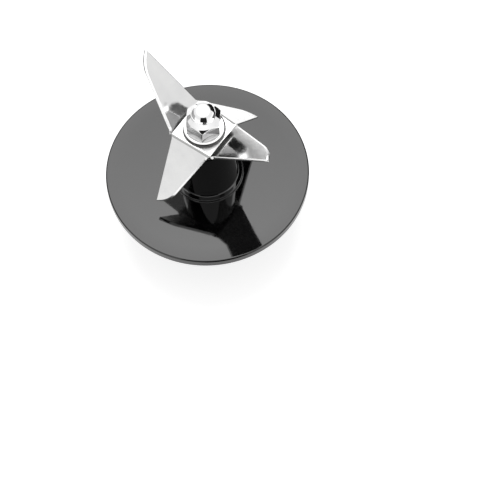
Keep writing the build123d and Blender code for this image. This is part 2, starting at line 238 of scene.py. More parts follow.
# The rim turns up along an arc. Its two outermost points give way to the disc's rounded edge.
rim_radius = (rim_width**2 + rim_rise**2) / (2 * rim_rise)
rim_reach = np.linspace(rim_width, 0.0, rim_points)[2:]
rim_lift = rim_radius - np.sqrt(rim_radius**2 - rim_reach**2)
rim_inner = disc_radius - rim_width
rim_corners = [(rim_inner + reach, disc_top + lift, 0.0) for reach, lift in zip(rim_reach, rim_lift)]
moulding_profile = rounded_profile(
    [
        (bush_pocket_radius, boss_bottom, 0.0),
        (boss_radius, boss_bottom, moulded_edge),
        (boss_radius, disc_bottom, moulded_edge),
        (pilot_radius - pilot_wall, disc_bottom, moulded_edge),
        (pilot_radius - pilot_wall, disc_bottom - pilot_depth, moulded_edge),
        (pilot_radius, disc_bottom - pilot_depth, moulded_edge),
        (pilot_radius, disc_bottom, moulded_edge),
        (disc_radius, disc_bottom, moulded_edge),
        (disc_radius, disc_top + rim_rise, disc_edge_radius),
        *rim_corners,
        (step_radius, disc_top, moulded_edge),
        (step_radius, step_top, step_edge_radius),
        (hub_foot_radius, step_top, hub_foot_fillet),
        (hub_top_radius, hub_top, hub_top_fillet),
        (seal_pocket_radius, hub_top, moulded_edge),
        (seal_pocket_radius, seal_pocket_bottom, 0.0),
        (bush_pocket_radius, seal_pocket_bottom, 0.0),
        (bush_pocket_radius, upper_bush_bottom, 0.0),
        (felt_pocket_radius, upper_bush_bottom, 0.0),
        (felt_pocket_radius, disc_bottom, 0.0),
        (bush_pocket_radius, disc_bottom, 0.0),
    ]
)
rib_angles = np.arange(rib_count) * 2 * pi / rib_count
rib_start, rib_end = boss_radius - moulded_edge, pilot_radius - pilot_wall + rib_sink
base_moulding = make_piece(
    "base_moulding",
    [turned_sheet(closed(moulding_profile), disc_turns)]
    + [rib_sheet(angle, rib_start, rib_end) for angle in rib_angles],
)
black_gloss = new_finish("black_gloss_plastic", IOR=1.56)
two_tone(black_gloss, noise(black_gloss, 9.0 * mm), (0.0007, 0.0007, 0.0008), (0.0016, 0.0016, 0.0017))
spread(black_gloss, noise(black_gloss, 2.5 * mm, detail=5.0), "Roughness", 0.03, 0.06)
relief(black_gloss, noise(black_gloss, 16.0 * mm, detail=1.0), 0.012 * mm)
relief(black_gloss, noise(black_gloss, 0.35 * mm, detail=3.0), 0.00012 * mm)
base_moulding.data.materials.append(black_gloss)
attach(base_moulding, "base")
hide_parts("base_disc")

# Bushes and upper thrust washer: sintered bronze, pressed from powder and left porous, so that they hold oil.
# The bushes are pressed into the moulding and the washer lies loose on the upper one.
bronze = new_finish("sintered_bronze", Metallic=1.0)
bronze_pores = noise(bronze, 0.18 * mm, detail=4.0)
two_tone(bronze, bronze_pores, (0.2, 0.11, 0.045), (0.56, 0.36, 0.17), 0.36, 0.52)
spread(bronze, noise(bronze, 1.4 * mm), "Roughness", 0.32, 0.5)
relief(bronze, bronze_pores, 0.012 * mm)


def dress(finish, *names):
    """Gives CAD nodes their finish."""
    for name in names:
        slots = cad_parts[name].data.materials
        slots.clear()
        slots.append(finish)


dress(bronze, "upper_bush", "lower_bush", "upper_thrust_washer")

# Oil felt: a ring of pressed wool felt, stamped from sheet and soaked in oil. It sits in the hub between the
# two bushes and feeds them.
felt = new_finish("oiled_wool_felt", Sheen_Weight=0.3)
felt_fibres = noise(felt, 0.12 * mm, stretch=(1.0, 1.0, 5.0), detail=5.0)
two_tone(felt, felt_fibres, (0.13, 0.1, 0.055), (0.3, 0.25, 0.16))
spread(felt, felt_fibres, "Roughness", 0.6, 0.95)
relief(felt, felt_fibres, 0.06 * mm)
dress(felt, "oil_felt")

# Shaft seal: a lip seal of black nitrile rubber, pressed into the top of the hub. A garter spring of fine
# wire lies in the groove behind its lip and holds the lip to the shaft.
rubber = new_finish("black_rubber", Specular_IOR_Level=0.35)
rubber_skin = noise(rubber, 0.3 * mm, detail=4.0)
two_tone(rubber, noise(rubber, 2.0 * mm), (0.008, 0.008, 0.008), (0.016, 0.016, 0.0155))
spread(rubber, rubber_skin, "Roughness", 0.42, 0.62)
relief(rubber, rubber_skin, 0.006 * mm)
dress(rubber, "shaft_seal")

spring_steel = new_finish("blued_spring_steel", Metallic=1.0)
spring_bloom = noise(spring_steel, 1.6 * mm, detail=3.0)
two_tone(spring_steel, spring_bloom, (0.09, 0.095, 0.12), (0.22, 0.21, 0.21))
spread(spring_steel, noise(spring_steel, 0.5 * mm), "Roughness", 0.25, 0.42)
relief(spring_steel, noise(spring_steel, 0.15 * mm), 0.003 * mm)
dress(spring_steel, "seal_spring")

# Bearing retainer: a blanked steel plate under the boss, zinc plated, that keeps the lower bush in. Three
# slotted pan-head screws, plated like it, cut their own thread in the boss.
zinc_plate = new_finish("zinc_plated_steel", Metallic=1.0)
zinc_bloom = noise(zinc_plate, 2.2 * mm, detail=4.0)
two_tone(zinc_plate, zinc_bloom, (0.46, 0.47, 0.49), (0.62, 0.62, 0.6))
spread(zinc_plate, noise(zinc_plate, 0.6 * mm, detail=4.0), "Roughness", 0.24, 0.42)
relief(zinc_plate, noise(zinc_plate, 0.2 * mm, detail=3.0), 0.003 * mm)
dress(zinc_plate, "bearing_retainer", "retainer_screws")

# Drive shaft: turned from stainless bar, with a thrust collar, a groove for the clip and flats at both ends.
# The tool leaves fine rings round it.
turned_steel = new_finish("turned_stainless_steel", Metallic=1.0, Anisotropic=0.4)
tool_rings = noise(turned_steel, 0.12 * mm, stretch=(60.0, 60.0, 1.0), detail=3.0)
two_tone(turned_steel, noise(turned_steel, 4.0 * mm), (0.5, 0.5, 0.5), (0.6, 0.595, 0.585))
spread(turned_steel, tool_rings, "Roughness", 0.16, 0.3)
relief(turned_steel, tool_rings, 0.002 * mm)
dress(turned_steel, "drive_shaft")

# Axial stop: a red-brown fibre washer that takes the rubbing under the retainer, a plated steel washer, and
# a blued spring-steel clip snapped into the shaft's groove.
fibre = new_finish("vulcanised_fibre", Specular_IOR_Level=0.4)
fibre_flecks = noise(fibre, 0.25 * mm, stretch=(4.0, 1.0, 1.0), detail=5.0)
two_tone(fibre, fibre_flecks, (0.13, 0.035, 0.022), (0.24, 0.075, 0.045))
spread(fibre, fibre_flecks, "Roughness", 0.45, 0.65)
relief(fibre, fibre_flecks, 0.01 * mm)
dress(fibre, "friction_washer")
dress(zinc_plate, "thrust_washer")
dress(spring_steel, "retaining_ring")

# Water slinger: a moulded rubber ring, tapering upwards, stretched onto the shaft just above the seal, where
# it throws liquid off.
shaft_radius = 4.0 * mm
slinger_low, slinger_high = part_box("water_slinger")
slinger_radius = slinger_high.x
slinger_taper = 2.0 * mm
slinger_edge = 0.3 * mm
slinger_turns = 96
slinger_profile = rounded_profile(
    [
        (shaft_radius, slinger_low.z, 0.0),
        (slinger_radius, slinger_low.z, slinger_edge),
        (slinger_radius - slinger_taper, slinger_high.z, slinger_edge),
        (shaft_radius, slinger_high.z, 0.0),
    ]
)
slinger = make_piece("slinger_ring", [turned_sheet(closed(slinger_profile), slinger_turns)])
slinger.data.materials.append(rubber)
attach(slinger, "rotor")
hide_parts("water_slinger")

# Blade seat: a thick washer turned from stainless bar. It rests on the shaft's shoulder, is keyed to its
# flats and carries the blade.
dress(turned_steel, "blade_seat")

# Blade: one stamping of stainless sheet with four arms, two bent up and two down, on the flats of the shaft.
# Its top is polished and its leading edges are ground to a bevel. The plate is dulled where it is clamped.
# The down-bends' tops are painted dark, a painted reflection. The underside is rougher, as rolled, and its
# colour is painted darker, a painted shade.
blade_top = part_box("nut_washer")[0].z
blade_thickness = 1.3 * mm
bend_offset = 8.9 * mm
bend_inner_radius = 0.5 * mm
keyed_hole_radius = 4.0 * mm
keyed_hole_flat = 3.2 * mm
arm_length = 30.0 * mm
arm_flare = 1.2 * mm
arm_trail_width = 8.4 * mm
arm_lead_width = 8.0 * mm
arm_straight = 22.5 * mm
arm_straight_offset = 0.7 * mm
arm_tip_setback = 6.0 * mm
bevel_width = 0.62 * mm
bevel_depth = 0.44 * mm
bevel_start = 0.6 * arm_flare
bevel_growth = 1.2 * arm_flare
bevel_most = 0.9
stamped_edge = 0.14 * mm
stamped_tip = 1.5 * mm
# Where the band on a down-bend's top that is painted dark, a painted reflection, starts and ends, in shares
# of the bend's reach.
dark_bend_start, dark_bend_end = -0.25, 0.7
# Degrees, one value for each arm: its place round the shaft, its bend, and its turn in its own plane.
arm_angles = (50.0, 141.0, 231.0, 321.0)
bend_angles = (-51.5, 46.0, -57.0, 36.2)
skew_angles = (4.5, 0.0, 0.0, 0.0)
slope_step = 0.01 * mm
least_sine = 0.1
# The grid across and along the arm, whose points lie closer at the edges and where the sheet bends.
outer_share, inner_share, inner_points = 0.015, 0.06, 23
coarse_end, fine_start = 0.62, 0.66
coarse_rows, fine_rows, arm_rows = 6, 22, 26
bend_zone = 2.4 * mm


def lead_edge(along):
    """The leading edge's distance from the arm's middle line: in from the plate's corner, then straight, then
    an arc that leaves the straight run smoothly and ends at the tip."""
    slope = (arm_straight_offset - arm_lead_width) / (arm_straight - arm_flare)
    straight = arm_lead_width + slope * (along - arm_flare)
    corner = bend_offset + (arm_lead_width - bend_offset) * along / arm_flare
    chord = np.array([arm_length - arm_straight, -arm_tip_setback - arm_straight_offset])
    start = np.arctan(slope)
    half_turn = np.arctan2(chord[1], chord[0]) - start
    radius = np.hypot(*chord) / (2 * sin(abs(half_turn)))
    centre = (arm_straight + radius * sin(start), arm_straight_offset - radius * cos(start))
    arc = centre[1] + np.sqrt(np.maximum(radius**2 - (along - centre[0]) ** 2, 0.0))
    return np.where(along < arm_flare, corner, np.where(along < arm_straight, straight, arc))


def lead_slope(along):
    """The leading edge's slope: its change between two places close by, over their distance."""
    return (lead_edge(along + slope_step) - lead_edge(along - slope_step)) / (2 * slope_step)


def trail_edge(along):
    """The trailing edge's distance from the arm's middle line: in from the plate's corner, then straight to
    the tip."""
    slope = (arm_trail_width - arm_tip_setback) / (arm_length - arm_flare)
    corner = -bend_offset + (bend_offset - arm_trail_width) * along / arm_flare
    return np.where(along < arm_flare, corner, -arm_trail_width + slope * (along - arm_flare))


def bevel_fade(along):
    """The bevel's share of its full size: none at the bend, then growing evenly along the arm to one."""
    return np.clip((along - bevel_start) / bevel_growth, 0.0, 1.0)


def ground_top(along, across):
    """The top's height over the sheet: none, and falling to the bevel's depth over the bevel's width, which
    is measured square to the leading edge."""
    slope = np.where(along < arm_flare + slope_step, 0.0, lead_slope(along))
    gap = (lead_edge(along) - across) / np.sqrt(1 + slope**2)
    return -bevel_depth * bevel_fade(along) * np.maximum(0.0, 1 - gap / bevel_width)


def folded(pattern, depth, arm):
    """The flat sheet bent at its bend line. A point runs flat to where the bend begins, round an arc, and on
    along the arm. Its depth is laid off square to the sheet. The result is turned to the arm's place."""
    bend, skew = radians(bend_angles[arm]), radians(skew_angles[arm])
    out = pattern[..., 0] * cos(skew) - pattern[..., 1] * sin(skew) - bend_offset
    across = pattern[..., 0] * sin(skew) + pattern[..., 1] * cos(skew)
    top_radius = bend_inner_radius + (blade_thickness if bend < 0 else 0.0)
    reach = top_radius * tan(abs(bend) / 2)
    turned = np.clip((out + reach) / (2 * reach), 0.0, 1.0) * bend
    flat = np.minimum(out, -reach)
    rest = np.maximum(out - reach, 0.0)
    x = bend_offset + flat + top_radius * np.sin(abs(turned)) + rest * cos(bend) - depth * np.sin(turned)
    z = np.sign(bend) * top_radius * (1 - np.cos(turned)) + rest * sin(bend) + depth * np.cos(turned)
    place = radians(arm_angles[arm] - skew_angles[arm])
    return np.stack(
        [x * cos(place) - across * sin(place), x * sin(place) + across * cos(place), blade_top + z], axis=-1
    )


def turned_pattern(pattern, angle):
    """A flat pattern turned about the shaft axis."""
    x, y = pattern[..., 0], pattern[..., 1]
    return np.stack([x * cos(angle) - y * sin(angle), x * sin(angle) + y * cos(angle)], axis=-1)


def half_gaps(arm):
    """Half the angle from an arm to the arm before it and to the arm after it."""
    count = len(arm_angles)
    before = (arm_angles[arm] - arm_angles[arm - 1]) % 360.0
    after = (arm_angles[(arm + 1) % count] - arm_angles[arm]) % 360.0
    return radians(before / 2), radians(after / 2)


def shared(pattern, depth, arm, neighbour):
    """Points on the line between two arms: half way between where each arm's bend puts them."""
    swing = radians(arm_angles[arm] - arm_angles[neighbour])
    there = folded(turned_pattern(pattern, swing), depth, neighbour)
    return (folded(pattern, depth, arm) + there) / 2


def arm_sheets(arm):
    """One arm and its quarter of the plate as eight sheets: the plate's top, the bend's top, the arm's top,
    the ground bevel, the leading wall, the underside, the trailing wall and the hole's wall. Each is a grid
    of places on the flat pattern, along and across the arm, which the fold then bends."""
    count = len(arm_angles)
    before, after = (arm - 1) % count, (arm + 1) % count
    gap_before, gap_after = half_gaps(arm)
    corner_reach = bend_offset * sqrt(2.0)
    trail_corner = corner_reach * np.array([cos(gap_before), -sin(gap_before)])
    lead_corner = corner_reach * np.array([cos(gap_after), sin(gap_after)])
    inner = np.linspace(inner_share, 1 - inner_share, inner_points)
    share = np.concatenate([[0.0, outer_share], inner, [1 - outer_share, 1.0]])[None, :, None]
    root = trail_corner + (lead_corner - trail_corner) * share

    root_angle = np.arctan2(root[..., 1], root[..., 0])
    spot_angle = root_angle + radians(arm_angles[arm])
    flat_reach = keyed_hole_flat / np.maximum(np.abs(np.sin(spot_angle)), least_sine)
    hole_reach = np.minimum(keyed_hole_radius, flat_reach)
    hole = np.stack([hole_reach * np.cos(root_angle), hole_reach * np.sin(root_angle)], axis=-1)
    coarse = np.linspace(0.0, coarse_end, coarse_rows)
    fine = np.linspace(fine_start, 1.0, fine_rows)
    plate = hole + (root - hole) * np.concatenate([coarse, fine])[:, None, None]

    tip_share = np.sin(np.linspace(0.0, pi / 2, arm_rows))
    along = np.concatenate(
        [
            np.linspace(0.0, bend_zone, fine_rows)[1:],
            np.linspace(bend_zone, arm_straight, arm_rows)[1:],
            arm_straight + (arm_length - arm_straight) * tip_share[1:],
        ]
    )[:, None]
    lead, trail = lead_edge(along), trail_edge(along)
    ramp = np.clip(along / arm_flare, 0.0, 1.0) * np.clip((arm_length - along) / stamped_tip, 0.0, 1.0)
    bevel_across = bevel_width * np.sqrt(1 + lead_slope(along) ** 2) * bevel_fade(along)
    bevel_run = np.minimum(bevel_across, bevel_most * (lead - trail))
    low_side = trail + stamped_edge * ramp
    high_side = lead - bevel_run
    across = low_side + (high_side - low_side) * share[..., 0]

    square_side = np.stack([0 * share[..., 0] + bend_offset, (2 * share[..., 0] - 1) * bend_offset], axis=-1)
    nudge = root - square_side
    nudge_fade = np.clip(1 - along / arm_flare, 0.0, 1.0)[..., None]

    def on_arm(across_points, nudge_columns):
        """Flat pattern points on the arm, from their distances along and across it."""
        flat = np.stack([bend_offset + along + 0 * across_points, across_points], axis=-1)
        return flat + nudge_columns * nudge_fade

    def whole(plate_part, arm_part, plate_depth, arm_depth):
        """A sheet over the plate's quarter, its sides shared with the neighbours, and on over the arm."""
        plate_points = folded(plate_part, plate_depth, arm)
        plate_points[:, 0] = shared(plate_part[:, 0], plate_depth, arm, before)
        plate_points[:, -1] = shared(plate_part[:, -1], plate_depth, arm, after)
        return np.vstack([plate_points, folded(arm_part, arm_depth, arm)])

    top = whole(plate, on_arm(across, nudge), 0.0, ground_top(along, across))
    bend_reach = (bend_inner_radius + blade_thickness) * tan(abs(radians(bend_angles[arm])) / 2)
    middle_run = np.concatenate([plate[:, share.shape[1] // 2, 0] - bend_offset, along[:, 0]])
    bend_start, bend_end = np.searchsorted(middle_run, [dark_bend_start * bend_reach, dark_bend_end * bend_reach])
    bottom_across = low_side + (lead - stamped_edge * ramp - low_side) * share[..., 0]
    bottom = whole(plate, on_arm(bottom_across, nudge), -blade_thickness, -blade_thickness)

    def wall(edge, inset, heights, corner, neighbour, corner_nudge):
        """The sheet's cut side along one edge, from its top to its underside."""
        even = np.linspace(0.0, 1.0, heights.shape[1])
        top_height = ground_top(along, edge + 0 * even)
        square = top_height + (-blade_thickness - top_height) * even
        depth = square + (heights - square) * ramp
        first = shared(np.tile(corner, (len(even), 1)), -blade_thickness * even, arm, neighbour)
        return np.vstack([first[None], folded(on_arm(edge + inset, corner_nudge), depth, arm)])

    rounding = stamped_edge * np.array([1.0, edge_middle, 0.0])
    low_heights = rounding - blade_thickness
    trail_in = np.concatenate([rounding, rounding[::-1]]) * ramp
    trail_heights = np.concatenate([-rounding[::-1], low_heights])
    trail_heights = np.minimum(trail_heights, ground_top(along, trail + trail_in))
    trailing = wall(trail, trail_in, trail_heights, trail_corner, before, nudge[:, :1])

    bevel_in = bevel_run * np.array([1.0, 0.5, 0.0])
    lead_in = np.concatenate([bevel_in, rounding[::-1] * ramp], axis=1)
    lead_heights = np.concatenate([ground_top(along, lead - bevel_in), low_heights + 0 * ramp], axis=1)
    leading = wall(lead, -lead_in, lead_heights, lead_corner, after, nudge[:, -1:])
    bevel_end = bevel_in.shape[1] - 1

    hole_wall = np.stack([top[0], bottom[0]])
    return [
        top[: bend_start + 1],
        top[bend_start : bend_end + 1],
        top[bend_end:],
        leading[:, : bevel_end + 1],
        leading[:, bevel_end:],
        bottom,
        trailing,
        hole_wall,
    ]


# Finish slots: a down-bend's top is painted dark, a painted reflection; the underside is painted darker, a
# painted shade.
polished, ground, rolled_and_shaded, clamped, painted_bend = range(5)


def arm_finishes(arm):
    """The finish of each of an arm's eight sheets. Only a bend that goes down has its top painted dark, a
    painted reflection.
    """
    bend_finish = painted_bend if bend_angles[arm] < 0 else polished
    return [clamped, bend_finish, polished, ground, polished, rolled_and_shaded, polished, polished]


arms = range(len(arm_angles))
blade = make_piece(
    "four_arm_blade",
    [sheet for arm in arms for sheet in arm_sheets(arm)],
    sharp_angle=26.0,
    slots=[number for arm in arms for number in arm_finishes(arm)],
)
polished_steel = new_finish("polished_blade_steel", Metallic=1.0)
polish_lines = noise(polished_steel, 0.08 * mm, stretch=(1.0, 30.0, 1.0), detail=4.0)
two_tone(polished_steel, noise(polished_steel, 7.0 * mm), (0.7, 0.7, 0.7), (0.75, 0.75, 0.745))
spread(polished_steel, noise(polished_steel, 1.5 * mm, detail=5.0), "Roughness", 0.11, 0.18)
relief(polished_steel, noise(polished_steel, 7.0 * mm, detail=1.5), 0.05 * mm)
relief(polished_steel, polish_lines, 0.0002 * mm)
ground_steel = new_finish("ground_bevel_steel", Metallic=1.0)
grinding_lines = noise(ground_steel, 0.06 * mm, stretch=(1.0, 12.0, 12.0), detail=4.0)
two_tone(ground_steel, grinding_lines, (0.84, 0.84, 0.84), (0.92, 0.92, 0.92))
spread(ground_steel, grinding_lines, "Roughness", 0.14, 0.24)
relief(ground_steel, grinding_lines, 0.001 * mm)
# Underside: rougher as rolled, and darker in colour than the top, a painted shade.
rolled_shaded_steel = new_finish("rolled_underside_painted_shade", Metallic=1.0)
roll_lines = noise(rolled_shaded_steel, 0.15 * mm, stretch=(14.0, 1.0, 14.0), detail=4.0)
two_tone(rolled_shaded_steel, noise(rolled_shaded_steel, 5.0 * mm), (0.5, 0.5, 0.5), (0.57, 0.57, 0.565))
spread(rolled_shaded_steel, roll_lines, "Roughness", 0.2, 0.32)
relief(rolled_shaded_steel, roll_lines, 0.001 * mm)
clamped_steel = new_finish("clamped_plate_steel", Metallic=1.0)
rub_lines = noise(clamped_steel, 0.1 * mm, stretch=(1.0, 8.0, 1.0), detail=4.0)
two_tone(clamped_steel, noise(clamped_steel, 5.0 * mm), (0.74, 0.74, 0.74), (0.79, 0.79, 0.785))
spread(clamped_steel, rub_lines, "Roughness", 0.26, 0.38)
relief(clamped_steel, rub_lines, 0.0008 * mm)
# Down-bend tops: a dark copy of the polished steel, a painted reflection.
painted_bend_steel = new_finish("bend_steel_painted_reflection", Metallic=1.0)
bend_band_lines = noise(painted_bend_steel, 0.15 * mm, stretch=(3.0, 3.0, 1.0), detail=4.0)
two_tone(painted_bend_steel, bend_band_lines, (0.28, 0.28, 0.28), (0.36, 0.36, 0.355))
spread(painted_bend_steel, bend_band_lines, "Roughness", 0.2, 0.3)
relief(painted_bend_steel, bend_band_lines, 0.002 * mm)
for finish in (polished_steel, ground_steel, rolled_shaded_steel, clamped_steel, painted_bend_steel):
    blade.data.materials.append(finish)
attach(blade, "rotor")
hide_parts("blade")

# Nut washer: a thick plain washer blanked from stainless plate. Its face and its rounded upper edge are
# polished like the nut that clamps it on the blade, and its side is painted dark, a painted shade.
washer_low, washer_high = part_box("nut_washer")
washer_edge = 0.2 * mm
washer_crown = 1.0 * mm
washer_turns = 160
washer_profile = rounded_profile(
    [
        (shaft_radius, washer_low.z, 0.0),
        (washer_high.x, washer_low.z, washer_edge),
        (washer_high.x, washer_high.z, washer_crown),
        (shaft_radius, washer_high.z, 0.0),
    ]
)
washer_ring = closed(washer_profile)
# The side that is painted dark, a painted shade, runs from the start of the lower rounding to the middle of
# the upper one.
side_start = 2
side_end = side_start + arc_steps + 2 + arc_steps // 2
nut_washer = make_piece(
    "thick_nut_washer",
    [
        turned_sheet(washer_ring[: side_start + 1], washer_turns),
        turned_sheet(washer_ring[side_start : side_end + 1], washer_turns),
        turned_sheet(washer_ring[side_end:], washer_turns),
    ],
    slots=[0, 1, 0],
)
washer_steel = new_finish("polished_washer_steel", Metallic=1.0)
two_tone(washer_steel, noise(washer_steel, 3.0 * mm), (0.7, 0.7, 0.7), (0.76, 0.76, 0.755))
spread(washer_steel, noise(washer_steel, 0.8 * mm, detail=5.0), "Roughness", 0.08, 0.16)
relief(washer_steel, noise(washer_steel, 4.0 * mm), 0.006 * mm)
# Painted shade: the washer's side is a dark copy of its steel.
washer_side_shade = new_finish("washer_side_painted_shade", Metallic=1.0)
washer_side_lines = noise(washer_side_shade, 0.1 * mm, stretch=(1.0, 1.0, 12.0), detail=4.0)
two_tone(washer_side_shade, washer_side_lines, (0.03, 0.03, 0.03), (0.09, 0.09, 0.088))
spread(washer_side_shade, washer_side_lines, "Roughness", 0.3, 0.5)
relief(washer_side_shade, washer_side_lines, 0.003 * mm)
nut_washer.data.materials.append(washer_steel)
nut_washer.data.materials.append(washer_side_shade)
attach(nut_washer, "rotor")
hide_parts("nut_washer")

# Cap nut: a hexagon dome nut, turned from hexagon bar and chrome plated. Its corners are chamfered by a cone
# that runs up to a round shoulder, and the dome closes the thread. Its hexagon sides are painted darker than
# the chrome, a painted shade.
nut_low, nut_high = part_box("cap_nut")
nut_sides = 6
nut_flat_radius = 6.35 * mm
nut_corner_radius = nut_flat_radius / cos(pi / nut_sides)
nut_bar_radius = nut_corner_radius + 0.2 * mm
nut_face_inner, nut_face_outer = 4.6 * mm, 6.9 * mm
nut_foot_in, nut_foot_rise = 0.1 * mm, 0.03 * mm
nut_foot_height = 0.12 * mm
nut_side_start = 0.3 * mm
nut_corner_height = 5.9 * mm
nut_flat_height = 7.3 * mm
nut_shoulder_height = 8.9 * mm
nut_dome_radius = 4.8 * mm
nut_turn_angle = 22.0
nut_hole_depth = 10.3 * mm
nut_hole_margin = 0.5 * mm
nut_edge_softness = 0.12 * mm
nut_sharpness = 90.0
nut_height = nut_high.z - nut_low.z
face_rows, side_points, chamfer_rows, shoulder_rows, dome_rows = 4, 8, 20, 12, 26
nut_turns = 360


def soft_least(first, second, softness):
    """The lesser of two lengths, with the change from one to the other rounded off."""
    mix = np.clip(0.5 + 0.5 * (second - first) / softness, 0.0, 1.0)
    return second + (first - second) * mix - softness * mix * (1 - mix)


def nut_sheet(profile, angles):
    """The nut's turned profile cut down to a hexagon: the radius at an angle is the lesser of the profile's
    and the hexagon's, whose corners are rounded by summing its six sides' nearness to a high power."""
    sides = radians(nut_turn_angle) + (np.arange(nut_sides) + 0.5) * 2 * pi / nut_sides
    nearness = np.maximum(np.cos(angles[:, None] - sides), 0.0)
    hexagon = nut_flat_radius / (nearness**nut_sharpness).sum(axis=1) ** (1 / nut_sharpness)
    radius = soft_least(profile[:, :1], hexagon, nut_edge_softness)
    radius = np.where(profile[:, :1] < shaft_radius + nut_hole_margin, profile[:, :1], radius)
    height = nut_low.z + profile[:, 1:] + 0 * angles
    return np.stack([radius * np.cos(angles), radius * np.sin(angles), height], axis=-1)


nut_shoulder = (nut_dome_radius, nut_shoulder_height)
dome_angles = np.linspace(0.0, pi / 2, dome_rows)
dome_ring, dome_rise = nut_dome_radius * np.cos(dome_angles), nut_dome_radius * np.sin(dome_angles)
nut_profile = np.vstack(
    [
        [(0.0, nut_hole_depth), (shaft_radius, nut_hole_depth), (shaft_radius, 0.0)],
        np.linspace((nut_face_inner, 0.0), (nut_face_outer, 0.0), face_rows),
        [(nut_corner_radius - nut_foot_in, nut_foot_rise), (nut_bar_radius, nut_foot_height)],
        np.linspace((nut_bar_radius, nut_side_start), (nut_bar_radius, nut_corner_height), side_points),
        np.linspace((nut_corner_radius, nut_corner_height), (nut_flat_radius, nut_flat_height), chamfer_rows),
        np.linspace((nut_flat_radius, nut_flat_height), nut_shoulder, shoulder_rows)[1:],
        np.column_stack([dome_ring, nut_height - nut_dome_radius + dome_rise]),
    ]
)
nut_profile[-1, 0] = 0.0
nut_angles = np.linspace(0.0, 2 * pi, nut_turns + 1)
side_rows = np.flatnonzero(nut_profile[:, 0] > nut_corner_radius)
nut_sheets = [
    nut_sheet(nut_profile[: side_rows[0] + 1], nut_angles),
    nut_sheet(nut_profile[side_rows[0] : side_rows[-1] + 1], nut_angles),
    nut_sheet(nut_profile[side_rows[-1] :], nut_angles),
]
cap_nut = make_piece("dome_nut", nut_sheets, sharp_angle=44.0, slots=[0, 1, 0])
nut_chrome = new_finish("chrome_plate", Metallic=1.0)
two_tone(nut_chrome, noise(nut_chrome, 3.0 * mm), (0.82, 0.82, 0.825), (0.87, 0.87, 0.87))
spread(nut_chrome, noise(nut_chrome, 0.9 * mm, detail=4.0), "Roughness", 0.04, 0.09)
relief(nut_chrome, noise(nut_chrome, 2.0 * mm), 0.006 * mm)
# The hexagon's sides: a dark copy of the chrome, a painted shade.
shaded_nut_sides = new_finish("nut_sides_painted_shade", Metallic=1.0)
draw_lines = noise(shaded_nut_sides, 0.12 * mm, stretch=(1.0, 1.0, 14.0), detail=4.0)
two_tone(shaded_nut_sides, noise(shaded_nut_sides, 2.5 * mm, detail=3.0), (0.36, 0.36, 0.365), (0.46, 0.46, 0.46))
spread(shaded_nut_sides, draw_lines, "Roughness", 0.05, 0.11)
relief(shaded_nut_sides, draw_lines, 0.0015 * mm)
cap_nut.data.materials.append(nut_chrome)
cap_nut.data.materials.append(shaded_nut_sides)
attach(cap_nut, "rotor")
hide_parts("cap_nut")

# Drive coupling: a toothed driver moulded from black glass-filled nylon, on the flats of the shaft's lower
# end. A plated washer and a slotted pan-head screw, sunk in its pocket, hold it on.
nylon = new_finish("glass_filled_nylon", Specular_IOR_Level=0.4)
nylon_skin = noise(nylon, 0.2 * mm, stretch=(1.0, 3.0, 1.0), detail=5.0)
two_tone(nylon, nylon_skin, (0.014, 0.014, 0.015), (0.028, 0.028, 0.029))
spread(nylon, nylon_skin, "Roughness", 0.38, 0.58)
relief(nylon, nylon_skin, 0.008 * mm)
dress(nylon, "drive_coupling")
dress(zinc_plate, "coupling_washer", "coupling_screw")

# Floor: a wide sheet of pale paper under the coupling. It is white to the camera and to the metal, and it
# keeps the soft shadow. From below it lets the view through.
floor_half = 3.0
floor_colour = (0.6, 0.6, 0.6, 1.0)
floor_lift = 0.72


def stage_sheet(name, corner, first_side, second_side):
    """A flat four-sided sheet from one corner along two sides, for the floor, the cards and the soft box. It
    faces the way that a right-handed screw goes when the first side turns to the second."""
    share = np.array([0.0, 1.0])
    first_way = share[:, None, None] * np.array(first_side)
    second_way = share[None, :, None] * np.array(second_side)
    piece = make_piece(name, [np.array(corner) + first_way + second_way])
    if piece.data.polygons[0].normal @ Vector(np.cross(first_side, second_side)) < 0.0:
        piece.data.flip_normals()
    return piece


def rays_seen(nodes, links):
    """One on rays from the camera or a mirror and none on others, and then the same for a mirror alone."""
    ray = nodes.new("ShaderNodeLightPath")
    seen = nodes.new("ShaderNodeMath")
    seen.operation = "MAXIMUM"
    links.new(ray.outputs["Is Camera Ray"], seen.inputs[0])
    links.new(ray.outputs["Is Glossy Ray"], seen.inputs[1])
    return seen.outputs[0], ray.outputs["Is Glossy Ray"]


floor = stage_sheet(
    "paper_floor", (-floor_half, -floor_half, 0.0), (2 * floor_half, 0.0, 0.0), (0.0, 2 * floor_half, 0.0)
)
paper = bpy.data.materials.new("pale_paper")
paper.use_nodes = True
paper_nodes, paper_links = paper.node_tree.nodes, paper.node_tree.links
paper_nodes.remove(paper_nodes["Principled BSDF"])
paper_skin = paper_nodes.new("ShaderNodeBsdfDiffuse")
paper_skin.inputs["Color"].default_value = floor_colour
paper_glow = paper_nodes.new("ShaderNodeEmission")
floor_seen, _ = rays_seen(paper_nodes, paper_links)
floor_whiten = paper_nodes.new("ShaderNodeMath")
floor_whiten.operation = "MULTIPLY"
floor_whiten.inputs[1].default_value = floor_lift
both = paper_nodes.new("ShaderNodeAddShader")
under = paper_nodes.new("ShaderNodeBsdfTransparent")
facing = paper_nodes.new("ShaderNodeNewGeometry")
two_sided = paper_nodes.new("ShaderNodeMixShader")
paper_links.new(floor_seen, floor_whiten.inputs[0])
paper_links.new(floor_whiten.outputs[0], paper_glow.inputs["Strength"])
paper_links.new(paper_skin.outputs[0], both.inputs[0])
paper_links.new(paper_glow.outputs[0], both.inputs[1])
paper_links.new(facing.outputs["Backfacing"], two_sided.inputs["Fac"])
paper_links.new(both.outputs[0], two_sided.inputs[1])
paper_links.new(under.outputs[0], two_sided.inputs[2])
paper_links.new(two_sided.outputs[0], paper_nodes["Material Output"].inputs["Surface"])
